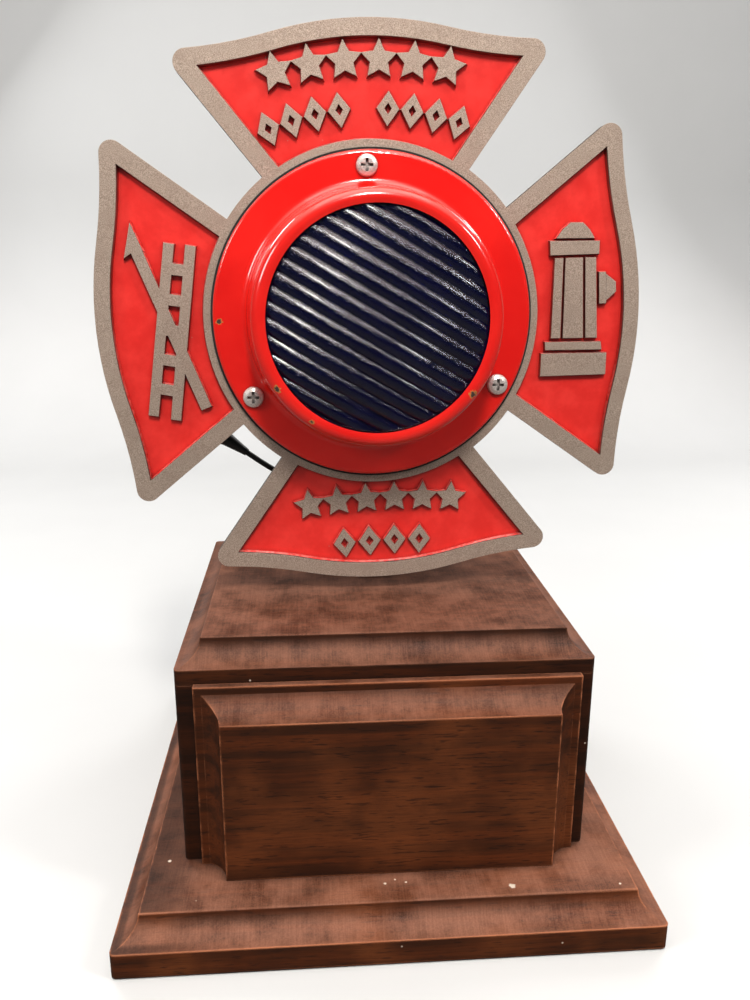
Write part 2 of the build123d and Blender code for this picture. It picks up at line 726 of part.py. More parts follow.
def stroke(start, end, width):
    """Straight bar of a given width between two points."""
    run = Vector(end) - Vector(start)
    middle = (Vector(start) + Vector(end)) * 0.5
    turn = Rot(0, 0, degrees(atan2(run.Y, run.X)))
    return Pos(middle.X, middle.Y) * turn * Rectangle(run.length, width)


def outline(*points):
    """Flat shape from its corners, given anticlockwise."""
    return Polygon(*points, align=None)


def star(size):
    """Five-pointed star of a given height."""
    outer = size / (1 + cos(radians(36)))
    points = []
    for i in range(10):
        radius = outer if i % 2 == 0 else outer * 0.5
        angle = radians(90 + 36 * i)
        points.append((radius * cos(angle), radius * sin(angle)))
    return outline(*points)


def lozenge(width, height, band):
    """Open diamond with an even band."""
    half_x, half_y = width / 2, height / 2
    scale = 1 - band * hypot(half_x, half_y) / (half_x * half_y)
    outer = [(half_x, 0), (0, half_y), (-half_x, 0), (0, -half_y)]
    inner = [(x * scale, y * scale) for x, y in outer]
    return outline(*outer) - outline(*inner)


def on_arc(motif, radius, slots, pitch, middle):
    """Copies of a motif on a shallow arc, each upright to it. Slots count from the centre."""
    row = []
    for slot in slots:
        angle = slot * pitch / radius
        place = Pos(radius * sin(angle), radius * cos(angle) - radius + middle)
        row.append(place * Rot(0, 0, -degrees(angle)) * motif)
    return row


def top_relief():
    """A row of stars over two groups of open diamonds."""
    six = (-2.5, -1.5, -0.5, 0.5, 1.5, 2.5)
    eight = (-4, -3, -2, -1, 1, 2, 3, 4)
    stars = on_arc(star(16.0), 194.0, six, 16.2, 117.5)
    return stars + on_arc(lozenge(10.6, 15.4, 2.9), 136.0, eight, 11.5, 96.5)


def bottom_relief():
    """A row of stars over a shorter row of open diamonds."""
    six = (-2.5, -1.5, -0.5, 0.5, 1.5, 2.5)
    four = (-1.5, -0.5, 0.5, 1.5)
    stars = on_arc(star(14.8), 400.0, six, 14.8, -92.0)
    return stars + on_arc(lozenge(11.4, 15.8, 2.9), 400.0, four, 13.2, -115.0)


def ladder_relief():
    """Short ladder crossed by a pike pole."""
    left_top, left_bottom = Vector(-96.2, 39.5), Vector(-111.9, -42.8)
    right_top, right_bottom = Vector(-86.0, 38.0), Vector(-101.1, -45.5)
    rails = [stroke(left_top, left_bottom, 5.0), stroke(right_top, right_bottom, 5.0)]
    rungs = []
    for i in range(5):
        share = 0.14 + 0.173 * i
        left = left_top + (left_bottom - left_top) * share
        right = right_top + (right_bottom - right_top) * share
        rungs.append(stroke(left, right, 5.4))
    pole = stroke((-112.4, 38.0), (-85.4, -40.4), 5.4)
    hook = outline((-113.6, 49.5), (-118.0, 33.5), (-113.0, 36.5), (-108.8, 36.5))
    return rails + rungs + [pole, hook]


def hydrant_relief():
    """Street hydrant: bonnet, cap, grooved barrel, flange, base and one side outlet."""
    bonnet = outline((92.6, 34.4), (111.8, 33.8), (109.2, 38.0), (105.8, 41.4), (99.6, 41.6), (95.6, 38.4))
    cap = outline((89.4, 33.2), (89.6, 26.4), (114.2, 26.2), (114.4, 32.4))
    left_stave = outline((91.9, 24.9), (90.1, -14.1), (94.9, -14.2), (96.1, 24.8))
    middle_stave = outline((97.3, 24.8), (96.2, -14.3), (106.6, -14.6), (106.0, 24.7))
    right_stave = outline((107.3, 24.7), (107.9, -14.6), (113.8, -14.8), (112.7, 24.5))
    flange = outline((87.0, -15.9), (87.2, -19.9), (116.4, -20.9), (115.8, -16.9))
    base = outline((85.2, -21.6), (84.6, -33.0), (118.6, -33.6), (119.0, -22.6))
    outlet = outline((114.4, 17.4), (114.8, 2.0), (118.2, 2.0), (117.8, 17.4))
    nozzle = outline((118.0, 16.4), (118.2, 3.4), (123.2, 7.6), (123.0, 12.4))
    return [bonnet, cap, left_stave, middle_stave, right_stave, flange, base, outlet, nozzle]


def raised(top_face):
    """Relief that stands on the sunk floor and narrows to its top face."""
    height = RELIEF_ROOT + RELIEF_HEIGHT
    spread = height * sin(radians(RELIEF_DRAFT))
    root = offset(top_face, amount=spread, kind=Kind.INTERSECTION)
    placed = FACING_FRONT.offset(-RECESS_DEPTH - RELIEF_ROOT) * root.face()
    return extrude(placed, amount=height, taper=RELIEF_DRAFT)


def emblem_cross():
    arm = arm_outline()
    plate = Circle(RING_RADIUS)
    for i in range(4):
        plate += Rot(0, 0, 90 * i) * arm
    corners = [v for v in plate.vertices() if hypot(v.X, v.Y) > hypot(*ARM_CORNER) - 1]
    plate = fillet(corners, ARM_CORNER_RADIUS)
    cross = extrude(FACING_FRONT.offset(-EMBLEM_THICKNESS) * plate, amount=EMBLEM_THICKNESS)
    pocket = extrude(FACING_FRONT * arm_recess().face(), amount=-RECESS_DEPTH, taper=RECESS_DRAFT)
    for i in range(4):
        cross -= Rot(0, 90 * i, 0) * pocket
    motifs = top_relief() + bottom_relief() + ladder_relief() + hydrant_relief()
    for motif in motifs:
        cross += raised(motif)
    cross -= disc(EMBLEM_BORE, 0, EMBLEM_THICKNESS)
    cross = EMBLEM_ROLL * cross
    for hole in at_screws(disc(SCREW_RADIUS + SCREW_CLEARANCE, 0, EMBLEM_THICKNESS)):
        cross -= hole
    return cross


# Lamp


def at_screws(shape):
    """Copies of a shape at the bezel's screws, turned with the emblem."""
    places = []
    for angle in SCREW_ANGLES:
        x, z = SCREW_CIRCLE * cos(radians(angle)), SCREW_CIRCLE * sin(radians(angle))
        places.append(EMBLEM_ROLL * Pos(x, 0, z))
    return [place * shape for place in places]


def lens_bezel():
    """Hat-shaped ring whose rim turns back to the gasket and whose lip turns in over the lens."""
    points = (
        (BEZEL_RADIUS, -GASKET_THICKNESS),
        (BEZEL_RADIUS, BEZEL_FACE),
        BEZEL_FOOT,
        BEZEL_CROWN,
        (LENS_OPENING, LIP_DEPTH),
    )
    bezel = sheet_shell(points, BEZEL_BENDS, SHEET, Side.RIGHT)
    for hole in at_screws(disc(SCREW_RADIUS + SCREW_CLEARANCE, BEZEL_FACE, BEZEL_FACE + SHEET)):
        bezel -= hole
    return bezel


def bezel_gasket():
    gasket = ring(BEZEL_RADIUS + 1.2, EMBLEM_BORE + 1, -GASKET_THICKNESS, 0)
    for hole in at_screws(disc(SCREW_RADIUS + SCREW_CLEARANCE, -GASKET_THICKNESS, 0)):
        gasket -= hole
    return gasket


def bezel_screws():
    """Pan-head machine screws with a cross slot."""
    tip = HOUSING_FRONT + SCREW_TAIL
    crown = BEZEL_FACE - SCREW_HEAD_HEIGHT
    screw = turned(
        (0, crown),
        (SCREW_HEAD_RADIUS * 0.6, crown + 0.15),
        (SCREW_HEAD_RADIUS * 0.92, crown + 0.9),
        (SCREW_HEAD_RADIUS, crown + 1.8),
        (SCREW_HEAD_RADIUS, BEZEL_FACE),
        (SCREW_RADIUS, BEZEL_FACE),
        (SCREW_RADIUS, tip - 1),
        (SCREW_RADIUS - 1, tip),
        (0, tip),
    )
    length, width = SCREW_SLOT
    slot = Box(length, 4.0, width) + Box(width, 4.0, length)
    screw -= Pos(0, crown, 0) * Rot(0, SCREW_SLOT_TURN, 0) * slot
    return group(at_screws(screw))


def bezel_nuts():
    """Washer and nut on each screw behind the housing's flange."""
    seat = HOUSING_FRONT + WASHER_THICKNESS
    washer = ring(NUT_RADIUS, SCREW_RADIUS, HOUSING_FRONT, seat)
    return group(at_screws(washer + hex_nut(NUT_RADIUS, SCREW_RADIUS, seat, NUT_HEIGHT)))


def flute_arcs(centre, crest_radius):
    """Side view of the domed front: one small arc for each flute, bulging forward."""
    pitch = 2 * LENS_DOME_RADIUS / FLUTE_COUNT
    valley_radius = crest_radius - FLUTE_DEPTH
    arcs = []
    for i in range(-1, FLUTE_COUNT + 1):
        low = (i - FLUTE_COUNT / 2) * pitch
        points = []
        for radius, height in (
            (valley_radius, low),
            (crest_radius, low + pitch / 2),
            (valley_radius, low + pitch),
        ):
            points.append((centre - sqrt(radius**2 - height**2), height))
        arcs.append(ThreePointArc(*points))
    return arcs


def lens():
    """Domed glass with parallel flutes across its front and a flat rim behind the lip."""
    crest_radius = (LENS_DOME_RADIUS**2 + LENS_DOME_SAG**2) / (2 * LENS_DOME_SAG)
    centre = LENS_CREST + crest_radius
    arcs = flute_arcs(centre, crest_radius)
    first, last = arcs[0] @ 0, arcs[-1] @ 1
    inside = LENS_CREST + LENS_THICKNESS
    inside_edge = LENS_RIM_FRONT + LENS_RIM_THICKNESS / 2
    bottom, top = (inside_edge, first.Y), (inside_edge, last.Y)
    back = ThreePointArc(top, (inside, 0), bottom)
    section = Plane.YZ * make_face([*arcs, Line(last, top), back, Line(bottom, first)])
    sweep_angle = 60
    dome = revolve(section, axis=Axis((0, centre, 0), (0, 0, 1)), revolution_arc=sweep_angle)
    dome = Pos(0, centre, 0) * Rot(0, 0, -sweep_angle / 2) * Pos(0, -centre, 0) * dome
    dome &= disc(LENS_DOME_RADIUS, LENS_CREST - 1, LENS_RIM_FRONT + 1)
    rim_inside = LENS_RIM_RADIUS - LENS_RIM_WIDTH
    rim = ring(LENS_RIM_RADIUS, rim_inside, LENS_RIM_FRONT, LENS_RIM_BACK)
    return Rot(0, FLUTE_ANGLE, 0) * dome + rim


def lens_gasket():
    front = LENS_RIM_FRONT - LENS_GASKET_THICKNESS
    return ring(LENS_GASKET_RADIUS, LENS_OPENING + 0.8, front, LENS_RIM_FRONT)


def reflector_depth(radius):
    """Depth of the parabolic reflector's bright side at a radius."""
    start = LENS_RIM_BACK + REFLECTOR_SHEET
    rise = (REFLECTOR_RADIUS**2 - radius**2) / (REFLECTOR_RADIUS**2 - REFLECTOR_NECK**2)
    return start + rise * (REFLECTOR_NECK_DEPTH - start)


def reflector():
    """Spun parabola with a flange behind the lens rim and a neck for the socket."""
    radii = (REFLECTOR_RADIUS, 40.0, 30.0, 20.0, REFLECTOR_NECK)
    sheet = REFLECTOR_SHEET
    inside = Spline(*[(r, reflector_depth(r)) for r in radii])
    outside = Spline(*[(r + sheet, reflector_depth(r) + sheet) for r in radii])
    neck = Polyline(
        inside @ 1, (REFLECTOR_NECK, NECK_END), (REFLECTOR_NECK + sheet, NECK_END), outside @ 1
    )
    flange = Polyline(
        outside @ 0,
        (REFLECTOR_FLANGE, (outside @ 0).Y),
        (REFLECTOR_FLANGE, LENS_RIM_BACK),
        (REFLECTOR_RADIUS, LENS_RIM_BACK),
        inside @ 0,
    )
    section = make_face([*inside.edges(), *neck.edges(), *outside.edges(), *flange.edges()])
    return revolve(section, axis=Axis.Y)


def snap_ring():
    """Round-wire ring that holds the reflector and lens up against the bezel's lip."""
    depth = LENS_RIM_BACK + 2 * REFLECTOR_SHEET + SNAP_RING_WIRE
    hoop = revolve(Pos(SNAP_RING_RADIUS, depth) * Circle(SNAP_RING_WIRE), axis=Axis.Y)
    return hoop - Pos(0, depth, -SNAP_RING_RADIUS) * Box(SNAP_RING_GAP, 6, 6)


def lamp_housing():
    points = (
        (HOUSING_FLANGE, HOUSING_FRONT),
        (HOUSING_RADIUS, HOUSING_FRONT),
        (HOUSING_RADIUS, HOUSING_BACK),
        (0, HOUSING_BACK),
    )
    shell = sheet_shell(points, HOUSING_BENDS, HOUSING_SHEET, Side.LEFT)
    for hole in at_screws(disc(SCREW_RADIUS + SCREW_CLEARANCE, EMBLEM_THICKNESS, HOUSING_FRONT)):
        shell -= hole
    for place in lug_screw_places():
        shell -= place * disc(LUG_SCREW_RADIUS, HOUSING_BACK - HOUSING_SHEET, HOUSING_BACK)
    return shell - Pos(0, TAIL_DEPTH, 0) * bar_x(TAIL_HOLE, -HOUSING_RADIUS - 2, -HOUSING_RADIUS + 8)


def bulb_socket():
    """Bayonet shell with an end wall and a collar that grips the reflector's neck."""
    start, end = SOCKET
    shell = ring(SOCKET_RADIUS, SOCKET_RADIUS - SOCKET_WALL, start, end)
    end_wall = ring(SOCKET_RADIUS, 2.5, end - SOCKET_WALL, end)
    collar = ring(REFLECTOR_NECK + 0.75, SOCKET_RADIUS, NECK_END + RUNNING_GAP, NECK_END + 2)
    return shell + end_wall + collar


def contact_disc():
    return disc(BULB_BASE_RADIUS, *CONTACT_DISC)


def contact_spring():
    spring = coil(1.3, 4.4, 4.8, 0.4)
    return Pos(0, CONTACT_DISC[1] + 0.6, 0) * Rot(-90, 0, 0) * spring


def bulb_base():
    start, end = BULB_BASE
    return disc(BULB_BASE_RADIUS, start, end) + disc(BULB_CONTACT_RADIUS, end, BULB_CONTACT_END)


def bulb_side(radius, neck):
    """Side view of the bulb: a round envelope and a neck."""
    return Pos(0, BULB_CENTRE) * Circle(radius) + Pos(0, BULB_CENTRE + 7.5) * Rectangle(2 * neck, 10.0)


def bulb_glass():
    outside = bulb_side(BULB_RADIUS, BULB_NECK)
    inside = bulb_side(BULB_RADIUS - BULB_GLASS, BULB_NECK - BULB_GLASS)
    half = (outside - inside) & (Pos(50, 0) * Rectangle(100, 100))
    return revolve(half, axis=Axis.Y) & disc(20, -40, BULB_BASE[0])


def bulb_filament():
    """Coil on two support wires, drawn as one bar."""
    filament = Pos(0, FILAMENT_DEPTH, 0) * bar_x(FILAMENT_RADIUS, -FILAMENT_HALF, FILAMENT_HALF)
    for sign in (-1, 1):
        path = Line((sign * 3.0, BULB_BASE[0] - 0.2, 0), (sign * 4.5, FILAMENT_DEPTH, 0))
        wire = Plane(origin=path @ 0, z_dir=path % 0) * Circle(FILAMENT_POST_RADIUS)
        filament += sweep(wire, path=path)
    return filament


def housing_grommet():
    """Rubber bush in the housing's side, with a lip on each side of the sheet."""
    outside, inside = -HOUSING_RADIUS, -HOUSING_RADIUS + HOUSING_SHEET
    bush = bar_x(TAIL_HOLE, outside - 0.5, inside + 2.1)
    bush += bar_x(5.6, outside - 2.1, outside - RUNNING_GAP) + bar_x(5.6, inside + 0.3, inside + 2.3)
    return Pos(0, TAIL_DEPTH, 0) * (bush - bar_x(2.0, -HOUSING_RADIUS - 8, -HOUSING_RADIUS + 11))


# Cable from the lamp to the post


def inline_jack():
    """Socket on the lamp's short tail, at the left end of the connector pair."""
    neck_radius, neck_end = JACK_NECK
    body = bar_x(JACK_RADIUS, -JACK_LENGTH, -0.1) + bar_x(neck_radius, -neck_end, -JACK_LENGTH)
    return CONNECTOR_PLACE * (body - bar_x(BARREL_RADIUS + RUNNING_GAP, -BARREL_LENGTH - 1, 0))


def plug_barrel():
    return CONNECTOR_PLACE * bar_x(BARREL_RADIUS, -BARREL_LENGTH, 0)


def inline_plug():
    """Moulded plug with a tapered strain relief."""
    half = Polyline(
        (0, 0),
        (0, PLUG_RADIUS),
        (3, PLUG_RADIUS),
        (5, 3.8),
        (BOOT_LENGTH - 2, 2.2),
        (BOOT_LENGTH, 2.0),
        (BOOT_LENGTH, 0),
        close=True,
    )
    boot = revolve(make_face(half), axis=Axis.X)
    return CONNECTOR_PLACE * (boot - bar_x(CABLE_RADIUS + RUNNING_GAP, 6, BOOT_LENGTH + 1))


def pigtail_cable():
    """Short cable out of the housing's left side and down to the jack."""
    heading = (Rot(0, 35.5, 0) * Pos(1, 0, 0)).position
    jack_end = (CONNECTOR_PLACE * Pos(-JACK_NECK[1] - RUNNING_GAP, 0, 0)).position
    points = [(-57.0, 22, 0), (-73, 22.5, -1), (-99, 25, -7), (-114, 28.5, -27), jack_end]
    return cord(points, CABLE_RADIUS, (-1, 0, 0), heading)


def supply_cable():
    """Cable from the plug into the post and down through the top board."""
    turn = HEAD_PLACE * CONNECTOR_PLACE
    plug_end = (turn * Pos(6 + RUNNING_GAP, 0, 0)).position
    boot_end = (turn * Pos(BOOT_LENGTH + 2, 0, 0)).position
    free_end = (turn * Pos(BOOT_LENGTH + 8, 0, 0)).position
    loop = [
        plug_end,
        boot_end,
        free_end,
        (-40, 18, 187),
        (-22, 25, 172),
        (-12, PIVOT_Y, CABLE_HOLE_Z + 0.2),
        (-6.5, PIVOT_Y, CABLE_HOLE_Z - 0.2),
        (-1.2, PIVOT_Y, CABLE_HOLE_Z - 4),
        (0, PIVOT_Y, CABLE_HOLE_Z - 13),
        (0, PIVOT_Y, INNER_CONNECTOR[1] + 0.1),
    ]
    return cord(loop, CABLE_RADIUS, boot_end - plug_end, (0, 0, -1))


def inner_connector():
    return POST_PLACE * column(4.2, *INNER_CONNECTOR)


# Switch and leads inside the box


def switch_body():
    """Toggle switch: case, threaded bushing with a flared mouth, and three solder tabs."""
    width, depth, height = SWITCH_CASE
    front = BACK_Y - SWITCH_WALL
    body = block(
        (SWITCH_X - width / 2, SWITCH_X + width / 2),
        (front - depth, front),
        (SWITCH_Z - height / 2, SWITCH_Z + height / 2),
    )
    centre = Pos(SWITCH_X, 0, SWITCH_Z)
    body += centre * disc(BUSHING_RADIUS, front, BACK_Y + BUSHING_LENGTH)
    tab_width, tab_length, tab_height = SWITCH_TAB
    for i in (-1, 0, 1):
        middle = front - depth - tab_length / 2
        place = Pos(SWITCH_X, middle, SWITCH_Z + i * SWITCH_TAB_PITCH)
        body += place * Box(tab_width, tab_length, tab_height)
    mouth = BACK_Y + BUSHING_LENGTH + 1
    throat = turned((0, BACK_Y - 2), (3.3, BACK_Y - 2), (3.3, BACK_Y + 4), (4.4, mouth), (0, mouth))
    return body - centre * throat


def switch_nut():
    washer = ring(8.6, BUSHING_RADIUS, BACK_Y, BACK_Y + 0.8)
    nut = hex_nut(8.2, BUSHING_RADIUS, BACK_Y + 0.8, 2.6)
    return Pos(SWITCH_X, 0, SWITCH_Z) * (washer + nut)


def switch_lever():
    """Bat-handle lever on a cross pin, resting in its lower position."""
    handle = turned((0, 0), (1.9, 0), (1.7, 6), (2.9, 20), (2.6, 22), (1.4, 23), (0, 23))
    lever = Sphere(2.6) + bar_x(1.0, -3.1, 3.1) + handle
    return Pos(SWITCH_X, BACK_Y + LEVER_PIVOT, SWITCH_Z) * Rot(LEVER_REST, 0, 0) * lever


def battery_lead():
    """Lead from the battery tray's wall up to the switch's lowest tab."""
    x = TRAY_HALF + TRAY_WALL / 2
    points = [
        (x, HATCH_Y - 20, TRAY_TOP + RUNNING_GAP),
        (x + 1, HATCH_Y - 16, 38),
        (x + 2, HATCH_Y + 4, 56),
        (SWITCH_X, TAB_END_Y - 1, SWITCH_Z - SWITCH_TAB_PITCH),
    ]
    return cord(points, LEAD_RADIUS, (0, 0, 1), (0, 1, 0))


def switch_lead():
    """Lead from the switch's middle tab to the connector under the post."""
    points = [
        (SWITCH_X, TAB_END_Y - 1, SWITCH_Z),
        (48, BACK_Y - 42, 70),
        (18, PIVOT_Y + 12, 72),
        (0, PIVOT_Y, INNER_CONNECTOR[0] - 0.1),
    ]
    return cord(points, LEAD_RADIUS, (0, -1, 0), (0, 0, 1))


PEDESTAL_PARTS = (
    felt_pad,
    base_slab,
    front_board,
    back_board,
    left_board,
    right_board,
    top_board,
    corner_blocks,
    plaque_panel,
    plaque_screws,
    slab_screws,
    battery_hatch,
    hatch_screws,
    battery_tray,
    battery_cells,
    battery_springs,
    switch_body,
    switch_nut,
    switch_lever,
    battery_lead,
    switch_lead,
)

STEM_PARTS = (
    post_foot,
    foot_screws,
    stem_post,
    stem_grommet,
    stem_washer,
    stem_nut,
    tilt_bolt,
    tilt_washers,
    tilt_wing_nut,
    supply_cable,
    inner_connector,
)

HEAD_PARTS = (
    emblem_cross,
    lens_bezel,
    bezel_gasket,
    bezel_screws,
    bezel_nuts,
    lens,
    lens_gasket,
    reflector,
    snap_ring,
    lamp_housing,
    tilt_lug,
    lug_screws,
    lug_nuts,
    bulb_socket,
    contact_disc,
    contact_spring,
    bulb_base,
    bulb_glass,
    bulb_filament,
    housing_grommet,
    pigtail_cable,
    inline_jack,
    plug_barrel,
    inline_plug,
)

os.makedirs("parts", exist_ok=True)
for make in PEDESTAL_PARTS + STEM_PARTS:
    export_step(make(), f"parts/{make.__name__}.step")
for make in HEAD_PARTS:
    export_step(HEAD_PLACE * make(), f"parts/{make.__name__}.step")
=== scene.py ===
import math

import bmesh
import bpy
from mathutils import Matrix, Vector


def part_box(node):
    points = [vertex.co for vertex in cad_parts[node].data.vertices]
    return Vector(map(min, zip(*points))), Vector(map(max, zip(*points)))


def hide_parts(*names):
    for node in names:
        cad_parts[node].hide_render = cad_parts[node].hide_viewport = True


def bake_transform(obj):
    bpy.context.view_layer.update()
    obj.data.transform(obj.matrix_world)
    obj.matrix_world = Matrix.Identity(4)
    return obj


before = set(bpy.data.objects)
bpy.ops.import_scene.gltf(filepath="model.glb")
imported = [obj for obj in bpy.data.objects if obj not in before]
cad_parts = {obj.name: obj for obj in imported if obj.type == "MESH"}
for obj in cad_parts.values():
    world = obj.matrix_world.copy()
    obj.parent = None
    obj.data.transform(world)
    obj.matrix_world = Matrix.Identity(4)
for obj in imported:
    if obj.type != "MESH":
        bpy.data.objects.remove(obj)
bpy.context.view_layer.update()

# Looks of the firefighter emblem lamp. Lengths are in metres unless a name ends in _MM.

MM = 0.001
MM_PER_METRE = 1000.0
PLAIN = (1.0, 1.0, 1.0)


def middle_of(node):
    low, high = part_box(node)
    return (low + high) / 2


# Two rings on the lens axis give the head's own backward direction.
HEAD_BACK = (middle_of("bezel_gasket") - middle_of("lens_gasket")).normalized()
HEAD_CENTRE = middle_of("emblem_cross")
HEAD_UP = Vector((1, 0, 0)).cross(HEAD_BACK)

# Emblem casting: its thickness, and how far the red fields are sunk
CROSS_THICKNESS_MM = 6.5
RECESS_MM = 3.0

# Chips in the bezel's enamel: angle, radius and depth on the bezel, then size, in mm and degrees
BEZEL_CHIPS = (
    ((181, 75.0, -7.8), 1.3),
    ((213, 56.0, -43.8), 1.9),
    ((236, 55.5, -43.8), 1.4),
    ((323, 55.5, -43.8), 1.9),
    ((329, 58.5, -38.0), 1.2),
)
CHIP_RIM = 1.35

# Pale specks of plaster or paint on the slab: place, then size, in mm
SLAB_SPECKS = (
    ((57.0, -114.8, 24.9), 1.7),
    ((-2.8, -109.0, 24.9), 0.6),
    ((2.1, -106.6, 24.9), 0.5),
    ((7.2, -108.7, 24.9), 0.6),
    ((-106.7, -86.0, 24.9), 0.9),
    ((108.2, -116.7, 24.9), 0.7),
)

# The ledge left of the plaque is darker: where that starts and where it has faded out, along X
SHADED_LEDGE_MM = (-112.0, -78.0)

# Supply cable: longest edge left in its mesh, and the rounds of cutting that reach it
CABLE_EDGE = 2.5 * MM
CABLE_ROUNDS = 4
WELD_DISTANCE = 1e-6

# Camera, as the photograph sees the lamp: angles in radians, focal length as a share of the width
CAMERA_PLACE = Vector((-0.0334, -0.4477, 0.3077))
CAMERA_YAW = -0.0743
CAMERA_PITCH = -0.2712
CAMERA_ROLL = -0.0033
FOCAL_SHARE = 0.8529
SENSOR_MM = 36.0
NEAREST_SEEN = 0.02

# Floor that curves up into a wall
FLOOR_FRONT = -3.0
FLOOR_HALF_WIDTH = 2.5
WALL_DISTANCE = 1.3
WALL_HEIGHT = 2.2
BEND_RADIUS = 0.45
BEND_STEPS = 12
# Floor colour for every ray but the camera's: painted dark so that reflections of the floor and
# light bounced from it are dark.
FLOOR_TO_OTHER_RAYS = (0.055, 0.06, 0.055)

# Room light, and the ceiling that only reflections show: where it starts and where it is full,
# as shares of the way from straight down to straight up
ROOM_COLOUR = (0.93, 0.95, 1.0)
ROOM_LIGHT = 0.36
BACKDROP = (0.80, 0.81, 0.82)
DARK_ROOM = (0.010, 0.010, 0.012)
CEILING_COLOUR = (1.0, 0.80, 0.68)
CEILING_SPAN = (0.78, 0.96)
CEILING_LIGHT = 2.4

# Lamps: place, width and height, power in watts, colour. All face AIM.
AIM = (0, 0, 0.22)
LAMPS = {
    "key_front": ((0.02, -0.95, 1.25), (0.16, 0.30), 13.0, (1.0, 0.95, 0.89)),
    "key_right": ((1.15, -0.70, 1.15), (0.14, 0.30), 7.0, (1.0, 0.97, 0.93)),
    "fill_left": ((-1.10, -0.55, 0.85), (0.30, 0.40), 5.0, (1.0, 0.97, 0.93)),
    "overhead": ((0.0, -0.25, 1.70), (1.50, 1.00), 7.0, (1.0, 0.95, 0.90)),
    "rear_left": ((-0.80, 0.90, 0.90), (0.60, 0.60), 7.0, PLAIN),
    "rear_right": ((0.90, 0.80, 0.80), (0.60, 0.60), 6.0, PLAIN),
}


